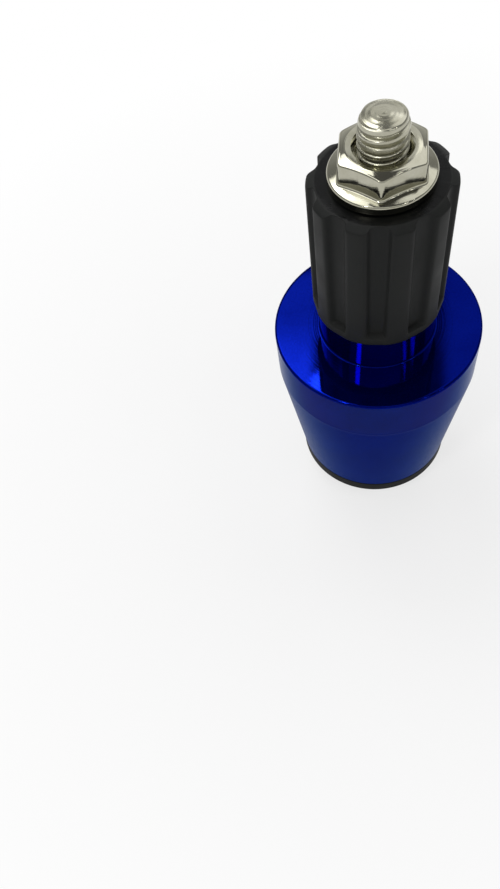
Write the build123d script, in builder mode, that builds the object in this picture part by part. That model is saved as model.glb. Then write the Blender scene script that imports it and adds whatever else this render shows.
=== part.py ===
# Bar end weight: a turned aluminium weight on an expander plug that grips the bore of a handlebar tube.
# The origin is the centre of the shoulder face that meets the end of the tube, and +Z points into the tube.
# All sizes are in millimetres.
import os
from math import cos, hypot, radians, sqrt, tan

from build123d import *

# Weight body: one turned piece with a shoulder, a plain band, a long taper and a neck that enters the tube
body_diameter = 30.0
band_length = 7.5
taper_length = 21.5
small_end_diameter = 24.5
shoulder_chamfer = 0.35
seam_chamfer = 0.15
neck_diameter = 16.6
neck_length = 5.6
neck_chamfer = 0.3

# End cap: a domed disc with a straight rim, and a spigot that centres it in the body
rim_length = 2.0
dome_radius = 17.7
mouth_diameter = 11.2
mouth_chamfer = 0.12
spigot_diameter = 18.0
spigot_length = 1.8
spigot_clearance = 0.05
spigot_end_gap = 0.2

# Clamp bolt: M6, with a low round head, a six-lobe key socket and a chamfered end
bolt_diameter = 5.9
thread_standout = 4.1
bolt_end_chamfer = 0.5
head_diameter = 10.0
head_height = 4.0
head_edge_chamfer = 0.7
head_recess = 1.0
bolt_clearance = 0.3
socket_lobes = 6
socket_outer_diameter = 5.6
socket_inner_diameter = 4.0
socket_lobe_radius = 0.45
socket_depth = 2.2
socket_point_depth = 0.5

# Rubber expander: a fluted sleeve that swells in the tube when the nut is drawn towards the head
rubber_diameter = 18.0
rubber_length = 21.1
rubber_foot_chamfer = 0.4
flute_count = 10
flute_width = 2.3
flute_depth = 1.0
flute_foot = 2.0
lobe_edge_radius = 0.4
crown_land = 1.55
crown_angle = 25.0
crown_edge = 0.2

# Flange nut, a hexagon on a round flange
nut_sides = 6
nut_across_flats = 10.0
nut_height = 4.6
nut_top_land = 0.15
nut_top_angle = 10.0
flange_diameter = 12.9
flange_rim = 1.25
flange_angle = 15.0
flange_edge_chamfer = 0.25
thread_clearance = 0.05
thread_countersink = 0.6

# Places that follow from the sizes above
body_radius = body_diameter / 2
neck_radius = neck_diameter / 2
small_end_radius = small_end_diameter / 2
seam_z = -(band_length + taper_length)
taper_slope = (body_radius - small_end_radius) / taper_length
clearance_radius = bolt_diameter / 2 + bolt_clearance

rim_z = seam_z - rim_length
mouth_radius = mouth_diameter / 2
dome_foot = sqrt(dome_radius**2 - small_end_radius**2)
dome_height = sqrt(dome_radius**2 - (mouth_radius + mouth_chamfer) ** 2) - dome_foot
mouth_z = rim_z - dome_height
head_face_z = mouth_z + head_recess
head_seat_z = head_face_z + head_height

rubber_radius = rubber_diameter / 2
rubber_top_z = neck_length + rubber_length
crown_radius = flange_diameter / 2 + crown_land
crown_edge_radius = rubber_radius - crown_edge
crown_edge_z = rubber_top_z - (crown_edge_radius - crown_radius) * tan(radians(crown_angle))
nut_top_z = rubber_top_z + nut_height
bolt_tip_z = nut_top_z + thread_standout

os.makedirs("parts", exist_ok=True)

# Weight body, turned about the axis, with a recess in its small end for the spigot of the cap
with BuildPart() as weight_body:
    recess_radius = spigot_diameter / 2 + spigot_clearance
    with BuildSketch(Plane.XZ):
        with BuildLine():
            Polyline(
                (clearance_radius, neck_length),
                (neck_radius - neck_chamfer, neck_length),
                (neck_radius, neck_length - neck_chamfer),
                (neck_radius, 0),
                (body_radius - shoulder_chamfer, 0),
                (body_radius, -shoulder_chamfer),
                (body_radius, -band_length),
                (small_end_radius + taper_slope * seam_chamfer, seam_z + seam_chamfer),
                (small_end_radius - seam_chamfer, seam_z),
                (recess_radius, seam_z),
                (recess_radius, seam_z + spigot_length + spigot_end_gap),
                (clearance_radius, seam_z + spigot_length + spigot_end_gap),
                close=True,
            )
        make_face()
    revolve(axis=Axis.Z)
weight_body.part.label = "weight_body"
export_step(weight_body.part, "parts/weight_body.step")

# End cap, turned, with a counterbore that hides the head of the bolt below the dome
with BuildPart() as end_cap:
    with BuildSketch(Plane.XZ):
        with BuildLine():
            Polyline(
                (mouth_radius + mouth_chamfer, mouth_z),
                (mouth_radius, mouth_z + mouth_chamfer),
                (mouth_radius, head_seat_z),
                (clearance_radius, head_seat_z),
                (clearance_radius, seam_z + spigot_length),
                (spigot_diameter / 2, seam_z + spigot_length),
                (spigot_diameter / 2, seam_z),
                (small_end_radius - seam_chamfer, seam_z),
                (small_end_radius, seam_z - seam_chamfer),
                (small_end_radius, rim_z),
            )
            RadiusArc((small_end_radius, rim_z), (mouth_radius + mouth_chamfer, mouth_z), dome_radius)
        make_face()
    revolve(axis=Axis.Z)
end_cap.part.label = "end_cap"
export_step(end_cap.part, "parts/end_cap.step")

# Clamp bolt: head and shank turned, then the six-lobe socket cut in, of tangent lobes and hollows
with BuildPart() as clamp_bolt:
    with BuildSketch(Plane.XZ):
        with BuildLine():
            Polyline(
                (0, head_face_z),
                (head_diameter / 2, head_face_z),
                (head_diameter / 2, head_seat_z),
                (bolt_diameter / 2, head_seat_z),
                (bolt_diameter / 2, bolt_tip_z - bolt_end_chamfer),
                (bolt_diameter / 2 - bolt_end_chamfer, bolt_tip_z),
                (0, bolt_tip_z),
                close=True,
            )
        make_face()
    revolve(axis=Axis.Z)
    head_edge = clamp_bolt.edges().sort_by_distance((-head_diameter / 2, 0, head_face_z))[0]
    chamfer(head_edge, length=head_edge_chamfer)

    # The hollow's radius makes each hollow meet its two lobes in a smooth line
    lobe_centre = socket_outer_diameter / 2 - socket_lobe_radius
    hollow_tip = socket_inner_diameter / 2
    lobe_pitch = 360 / socket_lobes
    across = lobe_centre * cos(radians(lobe_pitch / 2))
    hollow_radius = (
        (socket_lobe_radius**2 - hollow_tip**2 - lobe_centre**2 + 2 * across * hollow_tip)
        / (2 * (hollow_tip - across - socket_lobe_radius))
    )
    hollow_centre = Vector(hollow_tip + hollow_radius, 0).rotate(Axis.Z, lobe_pitch / 2)
    towards_hollow = (hollow_centre - Vector(lobe_centre, 0)).normalized()
    meeting = Vector(lobe_centre, 0) + towards_hollow * socket_lobe_radius
    meeting_before = Vector(meeting.X, -meeting.Y)
    with BuildSketch(Plane.XY.offset(head_face_z)):
        with BuildLine():
            for lobe in range(socket_lobes):
                turn = lobe * lobe_pitch
                ThreePointArc(
                    meeting_before.rotate(Axis.Z, turn),
                    Vector(socket_outer_diameter / 2, 0).rotate(Axis.Z, turn),
                    meeting.rotate(Axis.Z, turn),
                )
                ThreePointArc(
                    meeting.rotate(Axis.Z, turn),
                    Vector(hollow_tip, 0).rotate(Axis.Z, turn + lobe_pitch / 2),
                    meeting_before.rotate(Axis.Z, turn + lobe_pitch),
                )
        make_face()
    extrude(amount=socket_depth, mode=Mode.SUBTRACT)
    with BuildSketch(Plane.XZ):
        with BuildLine():
            Polyline(
                (0, head_face_z + socket_depth),
                (hollow_tip, head_face_z + socket_depth),
                (0, head_face_z + socket_depth + socket_point_depth),
                close=True,
            )
        make_face()
    revolve(axis=Axis.Z, mode=Mode.SUBTRACT)
clamp_bolt.part.label = "clamp_bolt"
export_step(clamp_bolt.part, "parts/clamp_bolt.step")

# Rubber expander: a moulded sleeve on a plain foot, with rounded lobes and a crown that slopes at its edge
with BuildPart() as rubber_expander:
    with BuildSketch(Plane.XY.offset(neck_length)):
        Circle(rubber_radius)
    extrude(amount=flute_foot)
    chamfer(rubber_expander.edges().sort_by(Axis.Z)[0], length=rubber_foot_chamfer)
    with BuildSketch(Plane.XY.offset(neck_length + flute_foot)) as lobes:
        Circle(rubber_radius)
        with PolarLocations(rubber_radius, flute_count, start_angle=-90):
            Rectangle(2 * flute_depth, flute_width, mode=Mode.SUBTRACT)
        mid_depth_radius = rubber_radius - flute_depth / 2
        lobe_corners = lobes.vertices().filter_by(lambda v: hypot(v.X, v.Y) > mid_depth_radius)
        fillet(lobe_corners, radius=lobe_edge_radius)
    extrude(amount=rubber_length - flute_foot)
    with BuildSketch(Plane.XZ):
        with BuildLine():
            Polyline(
                (crown_radius, rubber_top_z),
                (crown_edge_radius, crown_edge_z),
                (rubber_radius + crown_edge, crown_edge_z - 2 * crown_edge),
                (rubber_radius + crown_edge, rubber_top_z + crown_edge),
                (crown_radius, rubber_top_z + crown_edge),
                close=True,
            )
        make_face()
    revolve(axis=Axis.Z, mode=Mode.SUBTRACT)
    with BuildSketch(Plane.XY.offset(neck_length)):
        Circle(clearance_radius)
    extrude(amount=rubber_length, mode=Mode.SUBTRACT)
rubber_expander.part.label = "rubber_expander"
export_step(rubber_expander.part, "parts/rubber_expander.step")

# Flange nut: a hexagon whose top slopes from a narrow land, on a conical flange, bored and countersunk
with BuildPart() as flange_nut:
    flat_radius = nut_across_flats / 2
    half_side = 180 / nut_sides
    corner_radius = flat_radius / cos(radians(half_side))
    flange_radius = flange_diameter / 2
    bore_radius = bolt_diameter / 2 + thread_clearance
    land_radius = bore_radius + thread_countersink + nut_top_land
    corner_drop = (corner_radius - land_radius) * tan(radians(nut_top_angle))
    flange_rise = (flange_radius - bore_radius) * tan(radians(flange_angle))
    with BuildSketch(Plane.XY.offset(rubber_top_z)):
        RegularPolygon(flat_radius, nut_sides, major_radius=False, rotation=half_side)
    extrude(amount=nut_height)
    with BuildSketch(Plane.XZ):
        with BuildLine():
            Polyline(
                (0, rubber_top_z),
                (corner_radius, rubber_top_z),
                (corner_radius, nut_top_z - corner_drop),
                (land_radius, nut_top_z),
                (0, nut_top_z),
                close=True,
            )
        make_face()
    revolve(axis=Axis.Z, mode=Mode.INTERSECT)
    with BuildSketch(Plane.XZ):
        with BuildLine():
            Polyline(
                (0, rubber_top_z),
                (flange_radius, rubber_top_z),
                (flange_radius, rubber_top_z + flange_rim),
                (bore_radius, rubber_top_z + flange_rim + flange_rise),
                (0, rubber_top_z + flange_rim + flange_rise),
                close=True,
            )
        make_face()
    revolve(axis=Axis.Z)
    flange_edge = flange_nut.edges().sort_by_distance((-flange_radius, 0, rubber_top_z + flange_rim))[0]
    chamfer(flange_edge, length=flange_edge_chamfer)
    with BuildSketch(Plane.XY.offset(rubber_top_z)):
        Circle(bore_radius)
    extrude(amount=nut_height, mode=Mode.SUBTRACT)
    bore_circles = flange_nut.edges().filter_by(GeomType.CIRCLE).sort_by(SortBy.RADIUS)[:2]
    chamfer(bore_circles, length=thread_countersink)
flange_nut.part.label = "flange_nut"
export_step(flange_nut.part, "parts/flange_nut.step")
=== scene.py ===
from math import asin, atan2, ceil, cos, pi, radians, sin, sqrt, tan

import bmesh
import bpy
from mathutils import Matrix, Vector


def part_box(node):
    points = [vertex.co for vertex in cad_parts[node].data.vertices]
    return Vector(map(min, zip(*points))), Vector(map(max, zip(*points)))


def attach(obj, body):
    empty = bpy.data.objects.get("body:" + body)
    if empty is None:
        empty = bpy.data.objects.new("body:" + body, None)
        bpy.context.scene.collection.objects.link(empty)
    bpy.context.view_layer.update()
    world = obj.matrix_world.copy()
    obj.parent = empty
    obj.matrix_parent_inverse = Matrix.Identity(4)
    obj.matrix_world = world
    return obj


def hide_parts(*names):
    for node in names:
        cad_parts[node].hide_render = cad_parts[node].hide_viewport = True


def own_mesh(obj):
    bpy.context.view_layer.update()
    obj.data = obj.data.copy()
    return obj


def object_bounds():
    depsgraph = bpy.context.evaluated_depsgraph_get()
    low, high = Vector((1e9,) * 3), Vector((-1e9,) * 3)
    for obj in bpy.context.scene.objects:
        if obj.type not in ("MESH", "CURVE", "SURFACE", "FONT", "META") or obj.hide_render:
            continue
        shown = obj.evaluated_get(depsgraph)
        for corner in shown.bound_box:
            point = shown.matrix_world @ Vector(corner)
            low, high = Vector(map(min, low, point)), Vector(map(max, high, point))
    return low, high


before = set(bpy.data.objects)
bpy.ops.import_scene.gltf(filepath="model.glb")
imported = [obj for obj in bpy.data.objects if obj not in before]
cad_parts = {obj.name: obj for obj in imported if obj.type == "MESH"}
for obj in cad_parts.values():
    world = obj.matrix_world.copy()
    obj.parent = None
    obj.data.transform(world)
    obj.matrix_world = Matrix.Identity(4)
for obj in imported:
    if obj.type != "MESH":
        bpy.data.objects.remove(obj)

cad_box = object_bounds()

# Weight body: one bar of aluminium turned to a neck, a wide shoulder, a plain band and a long taper, and
# anodised deep blue. The round-nosed tool left a ring at each turn of the taper and finer rings elsewhere.
# The bolt runs through it and clamps it between the end cap and the rubber.
body_low, body_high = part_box("weight_body")
body_radius = body_high.x
neck_top = body_high.z
seam = body_low.z
bore_radius = 0.00325
neck_radius = 0.0083
neck_edge = 0.0003
neck_foot = 0.00022
shoulder_edge = 0.00035
band_length = 0.0075
band_edge = 0.0006
small_radius = 0.01225
seam_edge = 0.00015
spigot_recess_radius = 0.00905
spigot_recess_depth = 0.002
taper_rings = 47
ring_depth = 0.00002
ring_segments = 4
turned_steps = 192
turned_sharp_from = 28

blue_deep = (0.0004, 0.0034, 0.115, 1)
blue_light = (0.0008, 0.0054, 0.155, 1)
# The side's two blues are darker than the face's and tinted towards cyan: painted shade and painted
# reflection haze on the side
side_shade_deep = (0.0006, 0.0095, 0.095, 1)
side_shade_light = (0.0012, 0.0135, 0.145, 1)
blue_edge = (0.38, 0.46, 0.7, 1)
blue_mottle = (0.75, 1.25)
blue_smears = (0.4, 0.7)
smear_roughness = 0.03
face_roughness = 0.035
face_polish_low = -0.0005
side_roughness = 0.22
side_matt_high = -0.0015
band_coat = 0.09
taper_coat = 0.015
face_ring_spacing = 0.00022
face_ring_height = 0.0000017
dust_grey = (0.35, 0.36, 0.4, 1)
dust_cover = 0.35
dust_scale = 900.0
dust_patch_scale = 190.0
dust_patches = (0.62, 0.85)
dust_reach = 0.12
etch_scale = 3800.0


def eased(corners, arc_segments=5, flat_keeper=1.3):
    """The outline through corners of (radius, height, ease), with the eased ones rounded off.

    A point just outside each end of a round keeps the flat beyond it flat in its shading too.
    """
    outline = []
    for index, (radius, height, ease) in enumerate(corners):
        corner = Vector((radius, height))
        if not ease:
            outline.append(corner)
            continue
        back = (Vector(corners[index - 1][:2]) - corner).normalized()
        ahead = (Vector(corners[(index + 1) % len(corners)][:2]) - corner).normalized()
        half_angle = back.angle(ahead) / 2
        reach = ease / tan(half_angle)
        centre = corner + (back + ahead).normalized() * ease / sin(half_angle)
        first = corner + back * reach - centre
        last = corner + ahead * reach - centre
        turn = first.angle(last)
        outline.append(corner + back * reach * flat_keeper)
        for segment in range(arc_segments + 1):
            done = turn * segment / arc_segments
            outline.append(centre + (first * sin(turn - done) + last * sin(done)) / sin(turn))
        outline.append(corner + ahead * reach * flat_keeper)
    return outline


def close_up(bm, apart=1e-7):
    """Merges what meets and turns every face outwards."""
    bmesh.ops.remove_doubles(bm, verts=bm.verts, dist=apart)
    bmesh.ops.recalc_face_normals(bm, faces=bm.faces)
    if bm.calc_volume(signed=True) < 0:
        bmesh.ops.reverse_faces(bm, faces=bm.faces)


def turned(outline):
    """A closed outline of (radius, height) spun once round the axis, as on a lathe."""
    bm = bmesh.new()
    corners = [bm.verts.new((radius, 0, height)) for radius, height in outline]
    edges = [bm.edges.new((corners[index - 1], corner)) for index, corner in enumerate(corners)]
    bmesh.ops.spin(
        bm, geom=corners + edges, axis=(0, 0, 1), angle=2 * pi, steps=turned_steps, use_merge=True
    )
    close_up(bm)
    return bm


def piece_from(bm, name, material, sharp_from=35):
    """The finished object of a mesh, smooth but for edges that turn more than sharp_from degrees."""
    mesh = bpy.data.meshes.new(name)
    bm.to_mesh(mesh)
    bm.free()
    mesh.shade_smooth()
    mesh.set_sharp_from_angle(angle=radians(sharp_from))
    mesh.materials.append(material)
    piece = bpy.data.objects.new(name, mesh)
    bpy.context.scene.collection.objects.link(piece)
    return piece


def put(tree, kind, settings=None, **sockets):
    """Adds a node, with a value or a link for each socket, named by its label or as in0, in1 by its place."""
    made = tree.nodes.new(kind)
    for setting, value in (settings or {}).items():
        setattr(made, setting, value)
    for label, value in sockets.items():
        by_place = label[:2] == "in" and label[2:].isdigit()
        socket = made.inputs[int(label[2:]) if by_place else label.replace("_", " ")]
        if isinstance(value, bpy.types.NodeSocket):
            tree.links.new(value, socket)
        else:
            socket.default_value = value
    return made


def reckon(tree, operation, first, second=0.0, third=0.0):
    """A sum or other operation on two or three values."""
    made = put(tree, "ShaderNodeMath", {"operation": operation}, in0=first, in1=second, in2=third)
    return made.outputs[0]


def fade(tree, value, low, high, low_out=0.0, high_out=1.0):
    """Carries a value from one range to another, and holds it at the ends."""
    made = put(
        tree, "ShaderNodeMapRange", None,
        Value=value, From_Min=low, From_Max=high, To_Min=low_out, To_Max=high_out,
    )
    return made.outputs["Result"]


def blend_colours(tree, share, first, second):
    """Two colours mixed by a share from 0 to 1."""
    mixed = put(tree, "ShaderNodeMix", {"data_type": "RGBA"}, in0=share, in6=first, in7=second)
    return mixed.outputs[2]


def new_group(name, inputs, outputs):
    """An empty node group with named number sockets, and its two end nodes."""
    group = bpy.data.node_groups.new(name, "ShaderNodeTree")
    for label in inputs:
        group.interface.new_socket(label, in_out="INPUT", socket_type="NodeSocketFloat")
    for label in outputs:
        group.interface.new_socket(label, in_out="OUTPUT", socket_type="NodeSocketFloat")
    return group, group.nodes.new("NodeGroupInput"), group.nodes.new("NodeGroupOutput")


def use_group(tree, group, **sockets):
    """Places a node group in a material and gives its outputs."""
    return put(tree, "ShaderNodeGroup", {"node_tree": group}, **sockets).outputs


def new_finish(name, **constants):
    """A material with its shader, whose constant sockets are set here."""
    material = bpy.data.materials.new(name)
    material.use_nodes = True
    shader = material.node_tree.nodes["Principled BSDF"]
    for label, value in constants.items():
        shader.inputs[label.replace("_", " ")].default_value = value
    return material, material.node_tree, shader.inputs


# Turning marks are rings that no two tools leave alike: a noise along the way from the axis and down the side
turning_marks, marks_in, marks_out = new_group("turning_marks", ["Spacing"], ["Height", "Radius", "Level"])
marked_place = put(turning_marks, "ShaderNodeTexCoord").outputs["Object"]
axes = put(turning_marks, "ShaderNodeSeparateXYZ", None, Vector=marked_place).outputs
across_axis = put(turning_marks, "ShaderNodeCombineXYZ", None, X=axes["X"], Y=axes["Y"]).outputs[0]
distance = put(turning_marks, "ShaderNodeVectorMath", {"operation": "LENGTH"}, in0=across_axis)
from_axis = distance.outputs["Value"]
tool_way = reckon(turning_marks, "SUBTRACT", from_axis, axes["Z"])
rings = put(
    turning_marks, "ShaderNodeTexNoise", {"noise_dimensions": "1D"},
    W=reckon(turning_marks, "DIVIDE", tool_way, marks_in.outputs["Spacing"]), Scale=1.0, Detail=2.0,
)
turning_marks.links.new(rings.outputs["Fac"], marks_out.inputs["Height"])
turning_marks.links.new(from_axis, marks_out.inputs["Radius"])
turning_marks.links.new(axes["Z"], marks_out.inputs["Level"])

# Handling marks are faint smears with a few specks of dust, and the grain is that of the etched metal
handling_marks, handling_in, handling_out = new_group(
    "handling_marks", ["Smear Scale"], ["Smear", "Dust", "Grain"]
)
handled_place = put(handling_marks, "ShaderNodeTexCoord").outputs["Object"]
smears = put(
    handling_marks, "ShaderNodeTexNoise", None,
    Vector=handled_place, Scale=handling_in.outputs["Smear Scale"], Detail=5.0, Roughness=0.6,
)
specks = put(handling_marks, "ShaderNodeTexVoronoi", None, Vector=handled_place, Scale=dust_scale)
patches = put(handling_marks, "ShaderNodeTexNoise", None, Vector=handled_place, Scale=dust_patch_scale)
speck_reach = fade(handling_marks, patches.outputs["Fac"], *dust_patches, 0.0, dust_reach)
dust = reckon(handling_marks, "LESS_THAN", specks.outputs["Distance"], speck_reach)
etching = put(handling_marks, "ShaderNodeTexNoise", None, Vector=handled_place, Scale=etch_scale, Detail=1.0)
handling_marks.links.new(smears.outputs["Fac"], handling_out.inputs["Smear"])
handling_marks.links.new(dust, handling_out.inputs["Dust"])
handling_marks.links.new(etching.outputs["Fac"], handling_out.inputs["Grain"])

blue_anodised, tree, shader = new_finish(
    "blue_anodised", Metallic=0.82, Specular_IOR_Level=0.02, Specular_Tint=blue_edge, Coat_Roughness=0.2
)
face_marks = use_group(tree, turning_marks, Spacing=face_ring_spacing)
wear = use_group(tree, handling_marks, Smear_Scale=130.0)
on_side = reckon(tree, "LESS_THAN", face_marks["Level"], -shoulder_edge)
paler = fade(tree, reckon(tree, "ADD", wear["Smear"], wear["Grain"]), *blue_mottle)
bright_blue = blend_colours(tree, paler, blue_deep, blue_light)
# The side takes the darker, cyan-tinted blues: painted shade and painted reflection haze
side_shaded_blue = blend_colours(tree, paler, side_shade_deep, side_shade_light)
blue = blend_colours(tree, on_side, bright_blue, side_shaded_blue)
dusty = blend_colours(tree, reckon(tree, "MULTIPLY", wear["Dust"], dust_cover), blue, dust_grey)
tree.links.new(dusty, shader["Base Color"])
polish = fade(tree, face_marks["Level"], side_matt_high, face_polish_low, side_roughness, face_roughness)
smeared = fade(tree, wear["Smear"], *blue_smears, 0.0, smear_roughness)
tree.links.new(reckon(tree, "ADD", polish, smeared), shader["Roughness"])
band_low = -band_length - band_edge
side_coat = fade(tree, face_marks["Level"], band_low, -band_length + band_edge, taper_coat, band_coat)
tree.links.new(reckon(tree, "MULTIPLY", side_coat, on_side), shader["Coat Weight"])
ridges = put(tree, "ShaderNodeBump", None, Distance=face_ring_height, Height=face_marks["Height"])
tree.links.new(ridges.outputs[0], shader["Normal"])

taper_top = -band_length
taper_slope = (body_radius - small_radius) / (taper_top - seam)
taper_start = 2 * band_edge * tan(atan2(taper_slope, 1) / 2)
ring_pitch = (taper_top - taper_start - seam - 2 * seam_edge) / taper_rings
body_outline = eased([
    (bore_radius, neck_top, 0),
    (neck_radius, neck_top, neck_edge),
    (neck_radius, 0, neck_foot),
    (body_radius, 0, shoulder_edge),
    (body_radius, taper_top, band_edge),
    (small_radius, seam, 0),
])[:-1]
for step in range(taper_rings * ring_segments + 1):
    across = step % ring_segments / ring_segments
    drop = taper_start + step / ring_segments * ring_pitch
    hollow = ring_depth * 4 * across * (1 - across)
    body_outline.append(Vector((body_radius - taper_slope * drop - hollow, taper_top - drop)))
body_outline += eased([
    (small_radius, seam, seam_edge),
    (spigot_recess_radius, seam, 0),
    (spigot_recess_radius, seam + spigot_recess_depth, 0),
    (bore_radius, seam + spigot_recess_depth, 0),
    (small_radius, seam + seam_edge, 0),
])[:-1]
weight_body = piece_from(turned(body_outline), "turned_weight_body", blue_anodised, turned_sharp_from)
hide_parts("weight_body")
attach(weight_body, "weight")

# End cap: a turned aluminium disc, anodised black, with a satin rim and a polished dome. Its spigot sits in
# the recess of the body, and the counterbore in its face takes the head of the bolt.
cap_low, cap_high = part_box("end_cap")
cap_radius = cap_high.x
rim_length = 0.002
rim_edge = 0.00018
rim_ease_angle = 0.02
dome_radius = 0.0177
dome_segments = 22
mouth_radius = 0.0056
mouth_edge = 0.00012
head_height = 0.004
head_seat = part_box("clamp_bolt")[0].z + head_height
spigot_radius = 0.009
black_dye = (0.005, 0.005, 0.005, 1)
worn_black = (0.0035, 0.0035, 0.0033, 1)
dome_smears = (0.35, 0.75)
dome_roughness = (0.08, 0.16)
dome_coat = 0.8
rim_extra_roughness = 0.42
rim_ring_spacing = 0.00011
rim_ring_height = 0.00002

black_anodised, tree, shader = new_finish("black_anodised", Specular_IOR_Level=0.08, Coat_Roughness=0.06)
rim_marks = use_group(tree, turning_marks, Spacing=rim_ring_spacing)
wear = use_group(tree, handling_marks, Smear_Scale=180.0)
on_rim = reckon(tree, "GREATER_THAN", rim_marks["Level"], seam - rim_length)
tree.links.new(blend_colours(tree, on_rim, black_dye, worn_black), shader["Base Color"])
dome_gloss = fade(tree, wear["Smear"], *dome_smears, *dome_roughness)
tree.links.new(reckon(tree, "MULTIPLY_ADD", on_rim, rim_extra_roughness, dome_gloss), shader["Roughness"])
tree.links.new(fade(tree, on_rim, 0.0, 1.0, dome_coat, 0.0), shader["Coat Weight"])
ridges = put(
    tree, "ShaderNodeBump", None,
    Strength=0.3, Distance=rim_ring_height, Height=reckon(tree, "MULTIPLY", rim_marks["Height"], on_rim),
)
tree.links.new(ridges.outputs[0], shader["Normal"])

rim_low = seam - rim_length
dome_centre = rim_low + sqrt(dome_radius**2 - cap_radius**2)
mouth_angle = atan2(mouth_radius + mouth_edge, sqrt(dome_radius**2 - (mouth_radius + mouth_edge) ** 2))
dome_angle = atan2(cap_radius, dome_centre - rim_low) - rim_ease_angle


def on_dome(lean):
    """The point of the dome that its radius reaches when it leans so far from the axis."""
    return Vector((dome_radius * sin(lean), dome_centre - dome_radius * cos(lean)))


cap_outline = eased([
    (spigot_radius, seam, 0),
    (cap_radius, seam, seam_edge),
    (cap_radius, rim_low, rim_edge),
    (*on_dome(dome_angle), 0),
])
for segment in range(1, dome_segments + 1):
    cap_outline.append(on_dome(dome_angle + (mouth_angle - dome_angle) * segment / dome_segments))
cap_outline += eased([
    (mouth_radius, cap_low.z + mouth_edge, 0),
    (mouth_radius, head_seat, 0),
    (bore_radius, head_seat, 0),
    (bore_radius, cap_high.z, 0),
    (spigot_radius, cap_high.z, 0),
])
end_cap = piece_from(turned(cap_outline), "domed_end_cap", black_anodised, turned_sharp_from)
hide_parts("end_cap")
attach(end_cap, "weight")

# Clamp bolt: zinc-plated steel with a low round head, a six-lobe key socket and a rolled M6 thread. It runs
# through the whole weight from the cap to the nut, and its end is turned to a shallow dome with a round edge.
bolt_low, bolt_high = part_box("clamp_bolt")
tip = bolt_high.z
head_face = bolt_low.z
head_radius = bolt_high.x
head_edge = 0.0007
head_seat_edge = 0.00015
shank_radius = 0.0027
thread_radius = 0.00295
thread_pitch = 0.001
thread_depth = 0.0005
thread_steps = 72
thread_start = 0.018
thread_points = 16
thread_flatness = 1.5
end_dome_radius = 0.014
end_flat_radius = 0.0024
end_edge = 0.00035
end_steps = 6
end_rings = 32
end_mark_spacing = 0.0007
end_mark_depth = 0.00001
lead_in = 0.001
socket_mean_radius = 0.0024
socket_lobe_height = 0.0004
socket_lobes = 6
socket_edge = 0.00015
socket_depth = 0.0022
socket_point = 0.0005
slack = 0.00001
weld = 0.000001
zinc_bright = (0.46, 0.45, 0.37, 1)
zinc_dull = (0.38, 0.37, 0.285, 1)
zinc_smears = (0.3, 0.7)
gloss_smears = (0.3, 0.75)
nut_roughness = (0.06, 0.12)
thread_extra_roughness = 0.18
end_extra_roughness = 0.08
plate_ring_spacing = 0.00016
plate_ring_height = 0.00002
plate_grain_height = 0.00003


def pull_ring(bm, ring, place):
    """Extrudes a ring of edges, puts each new corner where place says, and returns the new ring."""
    pulled = bmesh.ops.extrude_edge_only(bm, edges=ring)["geom"]
    corners = {corner for corner in pulled if isinstance(corner, bmesh.types.BMVert)}
    for corner in corners:
        corner.co = place(corner.co)
    return [edge for edge in pulled if isinstance(edge, bmesh.types.BMEdge) and set(edge.verts) <= corners]


def at_radius(radius, height):
    """A place on the corner's own bearing, at a radius and a height that may depend on the corner."""
    def place(co):
        reach = radius(co) if callable(radius) else radius
        level = height(co) if callable(height) else height
        bearing = atan2(co.y, co.x)
        return Vector((reach * cos(bearing), reach * sin(bearing), level))
    return place


def open_ring(bm, level):
    """The open edges at a height."""
    return [
        edge for edge in bm.edges
        if edge.is_boundary and all(abs(corner.co.z - level) < slack for corner in edge.verts)
    ]


zinc_plate, tree, shader = new_finish("zinc_plate", Metallic=1.0)
plate_marks = use_group(tree, turning_marks, Spacing=plate_ring_spacing)
wear = use_group(tree, handling_marks, Smear_Scale=420.0)
zinc = blend_colours(tree, fade(tree, wear["Smear"], *zinc_smears), zinc_bright, zinc_dull)
tree.links.new(zinc, shader["Base Color"])
gloss = fade(tree, wear["Smear"], *gloss_smears, *nut_roughness)
on_bolt = reckon(tree, "LESS_THAN", plate_marks["Radius"], thread_radius + slack)
bolt_extra = fade(
    tree, plate_marks["Level"], tip - end_edge, tip - end_edge / 2,
    thread_extra_roughness, end_extra_roughness,
)
tree.links.new(reckon(tree, "MULTIPLY_ADD", on_bolt, bolt_extra, gloss), shader["Roughness"])
plate_grain = put(
    tree, "ShaderNodeBump", None, Strength=0.2, Distance=plate_grain_height, Height=wear["Smear"]
)
ridges = put(
    tree, "ShaderNodeBump", None,
    Strength=0.15, Distance=plate_ring_height, Height=plate_marks["Height"], Normal=plate_grain.outputs[0],
)
tree.links.new(ridges.outputs[0], shader["Normal"])

root_radius = thread_radius - thread_depth
end_lean = asin(end_flat_radius / end_dome_radius)
edge_centre = Vector((end_flat_radius - end_edge * sin(end_lean), 0))
edge_centre.y = tip - end_dome_radius * (1 - cos(end_lean)) - end_edge * cos(end_lean)


def end_limit(level):
    """The radius that the turned end leaves at a height: a lead-in taper, then its round edge."""
    if level > edge_centre.y:
        return edge_centre.x + sqrt(end_edge**2 - (level - edge_centre.y) ** 2)
    lead = min((edge_centre.y - level) / lead_in, 1)
    return edge_centre.x + end_edge + lead * (thread_radius - edge_centre.x - end_edge)


def thread_reach(share):
    """The radius of the thread at a share of its pitch, with round crests and roots."""
    wave = max(-1, min(1, thread_flatness * cos(2 * pi * share)))
    return root_radius + thread_depth * (1 + sin(wave * pi / 2)) / 2


def socket_radius(co):
    """The six-lobe outline of the key socket."""
    return socket_mean_radius + socket_lobe_height * cos(socket_lobes * atan2(co.y, co.x))


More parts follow.
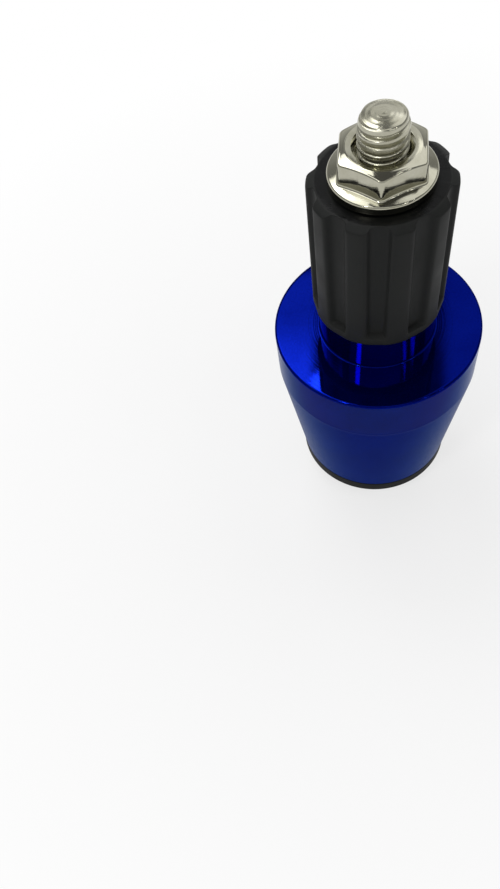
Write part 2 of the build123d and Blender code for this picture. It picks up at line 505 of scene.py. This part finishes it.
thread_turns = ceil((tip - thread_start) / thread_pitch) + 1
bm = bmesh.new()
shares = [step / thread_points for step in range(thread_points + 1)]
corners = [bm.verts.new((thread_reach(share), 0, thread_start + share * thread_pitch)) for share in shares]
edges = [bm.edges.new(pair) for pair in zip(corners, corners[1:])]
bmesh.ops.spin(
    bm, geom=corners + edges, axis=(0, 0, 1), angle=2 * pi * thread_turns, steps=thread_steps * thread_turns,
    dvec=(0, 0, thread_pitch / thread_steps),
)
bmesh.ops.remove_doubles(bm, verts=bm.verts, dist=weld)
thread_foot = thread_start + 2 * thread_pitch
edge_turn = asin((root_radius - edge_centre.x) / end_edge)
thread_end = edge_centre.y + end_edge * cos(edge_turn)
for level, above in ((thread_foot, False), (thread_end, True)):
    bmesh.ops.bisect_plane(
        bm, geom=bm.verts[:] + bm.edges[:] + bm.faces[:], plane_co=(0, 0, level), plane_no=(0, 0, 1),
        clear_outer=above, clear_inner=not above,
    )
for corner in bm.verts:
    corner.co.xy *= min(1, end_limit(corner.co.z) / corner.co.xy.length)
ring = open_ring(bm, thread_end)
for step in range(1, end_steps + 1):
    lean = edge_turn + (end_lean - edge_turn) * step / end_steps
    rounded = at_radius(edge_centre.x + end_edge * sin(lean), edge_centre.y + end_edge * cos(lean))
    ring = pull_ring(bm, ring, rounded)
for step in range(1, end_rings + 1):
    lean = end_lean * (1 - step / end_rings)
    reach = end_dome_radius * sin(lean)
    tool_mark = end_mark_depth * sin(pi * reach / end_mark_spacing) ** 2
    ring = pull_ring(bm, ring, at_radius(reach, tip - end_dome_radius * (1 - cos(lean)) - tool_mark))

head_outline = eased([
    (head_radius, head_seat, head_seat_edge),
    (head_radius, head_face, head_edge),
    (0, head_face, 0),
])[:-1]
ring = open_ring(bm, thread_foot)
for radius, height in [
    (shank_radius, thread_foot - thread_pitch),
    (shank_radius, head_seat),
    *head_outline,
    (lambda co: socket_radius(co) + socket_edge, head_face),
    (socket_radius, head_face + socket_edge),
    (socket_radius, head_face + socket_depth),
    (socket_mean_radius - socket_lobe_height, head_face + socket_depth),
    (0, head_face + socket_depth + socket_point),
]:
    ring = pull_ring(bm, ring, at_radius(radius, height))
close_up(bm, apart=weld)
clamp_bolt = piece_from(bm, "threaded_clamp_bolt", zinc_plate)
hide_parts("clamp_bolt")
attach(clamp_bolt, "bolt")

# Rubber expander: a moulded black sleeve on the bolt, between the neck and the nut. Ten flutes stop short of
# its foot, so that it swells between them and grips the tube when the nut squeezes it.
sleeve_low, sleeve_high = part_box("rubber_expander")
sleeve_radius = sleeve_high.x
sleeve_foot = sleeve_low.z
sleeve_crown = sleeve_high.z
flute_count = 10
flute_half_width = 0.00102
flute_depth = 0.001
flute_draft = 0.00012
flute_opening = 0.018
flute_foot = 0.002
mould_round = 0.0003
lip_depth = 0.00051
lip_width = 0.00105
ledge_round = 0.00014
ledge_drop = 0.0003
ledge_support = 0.0009
crown_radius = 0.008
crown_angle = 25
crown_edge = 0.0002
crown_round = 0.00016
crown_fold = 0.0001
fold_share = 0.4
foot_edge = 0.0004
foot_ease = foot_edge / 3
soften_levels = 2
rubber_sharp_from = 180
rubber_dark = (0.0109, 0.0118, 0.0116, 1)
rubber_pale = (0.0191, 0.0202, 0.0191, 1)
# Nearly black: painted shade for the ring of rubber beside the nut
rubber_painted_shade = (0.0008, 0.0012, 0.0014, 1)
rubber_smears = (0.3, 0.7)
rubber_roughness = (0.46, 0.62)
nut_ring_extra_roughness = -0.25
mould_grain_scale = 5200.0
mould_grain_height = 0.00002

black_rubber, tree, shader = new_finish("black_rubber", Specular_IOR_Level=0.12)
wear = use_group(tree, handling_marks, Smear_Scale=240.0)
bloom = blend_colours(tree, fade(tree, wear["Smear"], *rubber_smears), rubber_dark, rubber_pale)
from_bolt = use_group(tree, turning_marks, Spacing=1.0)["Radius"]
# Beside the nut the rubber is coloured nearly black, a painted shade under the flange, and its roughness is
# lowered
beside_nut = fade(tree, from_bolt, crown_radius - 2 * crown_fold, crown_radius - crown_fold / 2, 1.0, 0.0)
tree.links.new(blend_colours(tree, beside_nut, bloom, rubber_painted_shade), shader["Base Color"])
dull = fade(tree, wear["Smear"], *rubber_smears, *rubber_roughness)
tree.links.new(reckon(tree, "MULTIPLY_ADD", beside_nut, nut_ring_extra_roughness, dull), shader["Roughness"])
rubber_place = put(tree, "ShaderNodeTexCoord").outputs["Object"]
mould_grain = put(
    tree, "ShaderNodeTexNoise", None, Vector=rubber_place, Scale=mould_grain_scale, Detail=3.0
)
grain = put(
    tree, "ShaderNodeBump", None,
    Strength=0.35, Distance=mould_grain_height, Height=mould_grain.outputs["Fac"],
)
tree.links.new(grain.outputs[0], shader["Normal"])

ledge = sleeve_foot + flute_foot
flute_floor = sleeve_radius - flute_depth
flute_mouth = flute_half_width + flute_draft + mould_round
half_pitch = pi / flute_count
half_outline = [
    (0, flute_floor),
    (flute_half_width - mould_round, flute_floor),
    (flute_half_width, flute_floor + mould_round),
    (flute_half_width + flute_draft, sleeve_radius - lip_depth),
]
for across in (flute_mouth, flute_half_width + lip_width):
    half_outline.append((across, sqrt(sleeve_radius**2 - across**2)))
half_outline.append((sleeve_radius * sin(half_pitch), sleeve_radius * cos(half_pitch)))
bm = bmesh.new()
corners = [bm.verts.new((-across, -out, ledge)) for across, out in reversed(half_outline[1:])]
corners += [bm.verts.new((across, -out, ledge)) for across, out in half_outline]
edges = [bm.edges.new(pair) for pair in zip(corners, corners[1:])]
bmesh.ops.spin(
    bm, geom=corners + edges, axis=(0, 0, 1), angle=2 * pi - 2 * half_pitch, steps=flute_count - 1,
    use_duplicate=True,
)
bmesh.ops.remove_doubles(bm, verts=bm.verts, dist=weld)
flute_ring = bm.edges[:]


def off_flute(co):
    """The bearing of a corner from the middle of the nearest flute."""
    return (atan2(co.y, co.x) + pi / 2 + half_pitch) % (2 * half_pitch) - half_pitch


def crown_level(radius):
    """The height of the sleeve's end at a radius: flat round the nut, then sloping, with a steeper edge."""
    edge_radius = sleeve_radius - crown_edge
    slope_drop = (min(max(radius, crown_radius), edge_radius) - crown_radius) * tan(radians(crown_angle))
    return sleeve_crown - slope_drop - max(radius - edge_radius, 0)


def foot_radius(co):
    """The foot is round, but a little flat under each flute."""
    flat_angle = atan2(flute_mouth, sqrt(sleeve_radius**2 - flute_mouth**2))
    return sleeve_radius * cos(flat_angle) / cos(min(abs(off_flute(co)), flat_angle))


def over_ledge(co):
    """A place just above the ledge that ends each flute."""
    return Vector((co.x, co.y, ledge + ledge_round))


def under_crown(co):
    """A place just below the crown, where the flutes have opened by the draft of the mould."""
    opened = atan2(co.y, co.x) + flute_opening * sin(pi * off_flute(co) / half_pitch)
    reach = co.xy.length
    return Vector((reach * cos(opened), reach * sin(opened), crown_level(reach) - crown_round))


def on_crown(reach_from):
    """A place on the sleeve's end, at a radius that is worked out from the corner's own."""
    def place(co):
        reach = reach_from(co.xy.length)
        return at_radius(reach, crown_level(reach))(co)
    return place


def before_fold(radius):
    """A radius just outside the fold of the crown, or inside it where a flute reaches the fold."""
    return crown_radius - crown_round - crown_fold + (radius - flute_floor + crown_round) * fold_share


ring = flute_ring
for place in (
    over_ledge,
    under_crown,
    on_crown(lambda radius: radius),
    on_crown(lambda radius: radius - crown_round),
    on_crown(before_fold),
    on_crown(lambda radius: radius - 2 * crown_fold),
    at_radius(bore_radius + mould_round, sleeve_crown),
    at_radius(bore_radius, sleeve_crown - mould_round),
):
    ring = pull_ring(bm, ring, place)
bore_top = ring
ring = flute_ring
for radius, height in (
    (lambda co: max(co.xy.length, flute_floor + ledge_round), ledge),
    (lambda co: max(co.xy.length, foot_radius(co) - ledge_round), ledge - ledge_drop),
    (foot_radius, ledge - ledge_drop - ledge_round),
    (foot_radius, ledge - ledge_drop - ledge_support),
    (foot_radius, sleeve_foot + foot_edge + mould_round),
    (lambda co: foot_radius(co) - foot_ease, sleeve_foot + foot_ease),
    (sleeve_radius - foot_edge - mould_round, sleeve_foot),
    (bore_radius + mould_round, sleeve_foot),
    (bore_radius, sleeve_foot + mould_round),
):
    ring = pull_ring(bm, ring, at_radius(radius, height))
bmesh.ops.bridge_loops(bm, edges=bore_top + ring)
close_up(bm)
rubber_expander = piece_from(bm, "fluted_rubber_expander", black_rubber, rubber_sharp_from)
soften = rubber_expander.modifiers.new("soften", "SUBSURF")
soften.levels = soften_levels
soften.render_levels = soften_levels
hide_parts("rubber_expander")
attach(rubber_expander, "weight")
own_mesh(rubber_expander)

# Flange nut: zinc-plated steel, forged in one piece with its flange, with corners turned off at the top. It
# is screwed on the end of the bolt and presses on the crown of the rubber.
nut_low, nut_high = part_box("flange_nut")
nut_seat = nut_low.z
nut_top = nut_high.z
flange_radius = nut_high.x
flange_rim = 0.00125
flange_angle = 15
flange_edge = 0.00028
nut_flat_radius = 0.005
nut_corner_round = 0.0007
nut_face_radius = 0.0044
nut_bevel_angle = 20
nut_edge_round = 0.0003
nut_root_round = 0.0003
nut_edge_steps = 6
flat_margin = 0.00005
nut_bore_radius = 0.003
countersink = 0.0006
nut_land = 0.00015
land_edge = 0.00005
nut_steps = 180


def hexagon_radius(co):
    """The hexagon's outline, with rounded corners, one of which faces the front."""
    off_corner = (atan2(co.y, co.x) + pi / 2 + pi / 6) % (pi / 3) - pi / 6
    round_centre = (nut_flat_radius - nut_corner_round) / cos(pi / 6)
    flat_starts = atan2(nut_corner_round * sin(pi / 6), round_centre + nut_corner_round * cos(pi / 6))
    if abs(off_corner) > flat_starts:
        return nut_flat_radius / cos(pi / 6 - abs(off_corner))
    return round_centre * cos(off_corner) + sqrt(nut_corner_round**2 - (round_centre * sin(off_corner)) ** 2)


def flange_level(radius):
    """The height of the flange's cone."""
    return nut_seat + flange_rim + (flange_radius - radius) * tan(radians(flange_angle))


def top_level(radius):
    """The height of the top: a flat ring, and the bevel that takes the corners off round it."""
    return nut_top - max(radius - nut_face_radius, 0) * tan(radians(nut_bevel_angle))


def flange_margin(co):
    """A place on the flange's cone, just outside the hollow round."""
    reach = hexagon_radius(co) + nut_root_round + flat_margin
    return at_radius(reach, flange_level(reach))(co)


def root_place(turn, margin=0):
    """A place on the hollow round between the flange and the hexagon's side, or a margin above it."""
    def place(co):
        side = hexagon_radius(co)
        reach = side + nut_root_round * (1 - sin(turn))
        level = flange_level(side + nut_root_round) + nut_root_round * (1 - cos(turn))
        return at_radius(reach, level + margin)(co)
    return place


def edge_place(turn, margin=0):
    """A place on the round between the hexagon's side and the nut's top, or a margin below it."""
    def place(co):
        side = hexagon_radius(co)
        reach = side - nut_edge_round * (1 - cos(turn))
        level = top_level(side - nut_edge_round) - nut_edge_round * (1 - sin(turn))
        return at_radius(reach, level - margin)(co)
    return place


def top_margin(co):
    """A place on the bevel, just inside its round edge."""
    reach = hexagon_radius(co) - nut_edge_round - flat_margin
    return at_radius(reach, top_level(reach))(co)


bm = bmesh.new()
start = bmesh.ops.create_circle(bm, segments=nut_steps, radius=nut_bore_radius + countersink)["verts"]
bmesh.ops.translate(bm, verts=start, vec=(0, 0, nut_seat))
seat_ring = bm.edges[:]
flange_outline = eased([
    (flange_radius, nut_seat, flange_edge),
    (flange_radius, flange_level(flange_radius), flange_edge),
    (nut_flat_radius, flange_level(nut_flat_radius), 0),
    (nut_bore_radius, nut_seat, 0),
])[:-2]
mouth_outline = eased([
    (nut_flat_radius, nut_top, 0),
    (nut_bore_radius + countersink + nut_land, nut_top, 0),
    (nut_bore_radius + countersink, nut_top, land_edge),
    (nut_bore_radius, nut_top - countersink, 0),
    (nut_bore_radius, nut_seat + countersink, 0),
])[1:]
bevel_starts = [nut_face_radius + beside for beside in (flat_margin, -flat_margin)]
quarter_turns = [pi / 2 * step / nut_edge_steps for step in range(nut_edge_steps + 1)]
ring = seat_ring
for place in [
    *[at_radius(radius, height) for radius, height in flange_outline],
    flange_margin,
    *[root_place(turn) for turn in quarter_turns],
    root_place(pi / 2, flat_margin),
    edge_place(0, flat_margin),
    *[edge_place(turn) for turn in quarter_turns],
    top_margin,
    *[at_radius(radius, top_level(radius)) for radius in bevel_starts],
    *[at_radius(radius, height) for radius, height in mouth_outline],
]:
    ring = pull_ring(bm, ring, place)
bmesh.ops.bridge_loops(bm, edges=ring + seat_ring)
close_up(bm)
flange_nut = piece_from(bm, "plated_flange_nut", zinc_plate)
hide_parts("flange_nut")
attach(flange_nut, "nut")

# Floor: a plain pale sheet under the cap, which keeps the weight's shadow. To the camera and in the metal
# it whitens with distance, and only under the cap is it left wholly to the light that reaches it.
floor_half_width = 3.0
floor_white = (0.93, 0.93, 0.93, 1)
contact_from = 0.007
contact_to = 0.0105
backdrop_from = 0.03
backdrop_to = 0.12
backdrop_share = 0.72

pale_floor = bpy.data.materials.new("pale_floor")
pale_floor.use_nodes = True
tree = pale_floor.node_tree
tree.nodes.clear()
paths = put(tree, "ShaderNodeLightPath").outputs
mirrored = reckon(tree, "MAXIMUM", paths["Is Glossy Ray"], paths["Is Transmission Ray"])
seen = reckon(tree, "MAXIMUM", paths["Is Camera Ray"], mirrored)
away = use_group(tree, turning_marks, Spacing=1.0)["Radius"]
whitening = fade(tree, away, backdrop_from, backdrop_to, backdrop_share, 1.0)
whitening = reckon(tree, "MULTIPLY", whitening, fade(tree, away, contact_from, contact_to))
sheet = put(tree, "ShaderNodeBsdfDiffuse", None, Color=floor_white).outputs[0]
glow = put(tree, "ShaderNodeEmission", None, Color=(1, 1, 1, 1), Strength=1.0).outputs[0]
floor_shader = put(
    tree, "ShaderNodeMixShader", None, in0=reckon(tree, "MULTIPLY", seen, whitening), in1=sheet, in2=glow
)
put(tree, "ShaderNodeOutputMaterial", None, Surface=floor_shader.outputs[0])
bm = bmesh.new()
bmesh.ops.create_grid(bm, x_segments=1, y_segments=1, size=floor_half_width)
bmesh.ops.translate(bm, verts=bm.verts, vec=(0, 0, cad_box[0][2]))
floor = piece_from(bm, "floor", pale_floor)

# Lights: panels in a low ceiling, on both sides of a dark strip over the weight, small lamps that draw the
# bright lines on the neck and the nut, and a pale wall with a low window behind.
ceiling = 0.5
lamp_level = 0.49
wall = 1.0
left_end = -0.35
left_edge = -0.0575
near_start = -0.1
near_end = 0.2
dimming_from = 0.345
dimming_to = 0.4
dimming_strips = 5
left_far_end = 0.46
near_radiance = 2.4
left_radiance = 5.6
far_radiance = 2.3


def lit_panel(name, corner, far_corner, radiance, turned_up=False):
    """A lit rectangle between two corners, in the ceiling or, turned up, in the wall."""
    lamp = bpy.data.lights.new(name, "AREA")
    lamp.shape = "RECTANGLE"
    across = Vector(far_corner) - Vector(corner)
    lamp.size = across.x
    lamp.size_y = across.z if turned_up else across.y
    lamp.energy = radiance * pi * lamp.size * lamp.size_y
    panel = bpy.data.objects.new(name, lamp)
    panel.location = (Vector(far_corner) + Vector(corner)) / 2
    panel.rotation_euler.x = -pi / 2 if turned_up else 0
    panel.visible_camera = False
    bpy.context.scene.collection.objects.link(panel)


def left_panel(name, near, far, radiance):
    """A stretch of the long panel at the left."""
    lit_panel(name, (left_end, near, ceiling), (left_edge, far, ceiling), radiance)


left_panel("left_panel_near", near_start, near_end, near_radiance)
left_panel("left_panel", near_end, dimming_from, left_radiance)
strip_width = (dimming_to - dimming_from) / dimming_strips
for strip in range(dimming_strips):
    strip_near = dimming_from + strip * strip_width
    dimmed = left_radiance + (far_radiance - left_radiance) * (strip + 0.5) / dimming_strips
    left_panel(f"left_strip_{strip}", strip_near, strip_near + strip_width, dimmed)
left_panel("left_panel_far", dimming_to, left_far_end, far_radiance)
for name, corner, far_corner, radiance in (
    ("left_lamp", (left_edge, 0.285, ceiling), (-0.049, 0.333, ceiling), 20.0),
    ("right_panel", (0.0625, 0.15, ceiling), (0.4, 0.6, ceiling), 1.15),
    ("front_panel", (-0.3, -0.42, ceiling), (0.3, -0.2, ceiling), 1.2),
    ("front_left_lamp", (-0.225, -0.35, lamp_level), (-0.18, -0.25, lamp_level), 45.0),
    ("front_right_lamp", (0.31, -0.25, lamp_level), (0.325, -0.15, lamp_level), 25.0),
    ("right_lamp", (0.36, -0.125, lamp_level), (0.375, -0.05, lamp_level), 25.0),
):
    lit_panel(name, corner, far_corner, radiance)
for name, corner, far_corner, radiance in (
    ("pale_wall", (-0.2, wall, 0.5), (0.27, wall, 0.95), 0.62),
    ("low_window", (-0.1, wall, 0.05), (0.2, wall, 0.3), 2.5),
):
    lit_panel(name, corner, far_corner, radiance, turned_up=True)

# World: white to the camera, white at the horizon and dim above in the metal, and a grey fill otherwise
fill_strength = 0.12
overhead = 0.12
world = bpy.data.worlds.new("studio")
world.use_nodes = True
bpy.context.scene.world = world
tree = world.node_tree
paths = put(tree, "ShaderNodeLightPath").outputs
mirrored = reckon(tree, "MAXIMUM", paths["Is Glossy Ray"], paths["Is Transmission Ray"])
aim = put(tree, "ShaderNodeTexCoord").outputs["Generated"]
up = put(tree, "ShaderNodeSeparateXYZ", None, Vector=aim).outputs["Z"]
towards_horizon = fade(tree, up, 0.0, 1.0, 1.0, 0.0)
sky = fade(tree, reckon(tree, "MULTIPLY", towards_horizon, towards_horizon), 0.0, 1.0, overhead, 1.0)
room = put(tree, "ShaderNodeMix", {"data_type": "FLOAT"}, in0=mirrored, in2=fill_strength, in3=sky)
strength = put(
    tree, "ShaderNodeMix", {"data_type": "FLOAT"}, in0=paths["Is Camera Ray"], in2=room.outputs[0], in3=1.0
)
background = tree.nodes["Background"].inputs
background["Color"].default_value = (1, 1, 1, 1)
tree.links.new(strength.outputs[0], background["Strength"])

# Camera: close above the front of the shoulder, looking down on the nut
camera_place = (0, -0.07176, 0.09057)
camera_turn = (29.594, 6.909, 6.173)
camera_lens = 31.168
nearest_seen = 0.001
camera = bpy.data.objects.new("camera", bpy.data.cameras.new("camera"))
camera.location = camera_place
camera.rotation_euler = [radians(turn) for turn in camera_turn]
camera.data.lens = camera_lens
camera.data.clip_start = nearest_seen
bpy.context.scene.collection.objects.link(camera)
bpy.context.scene.camera = camera
bpy.context.scene.view_settings.view_transform = "Standard"
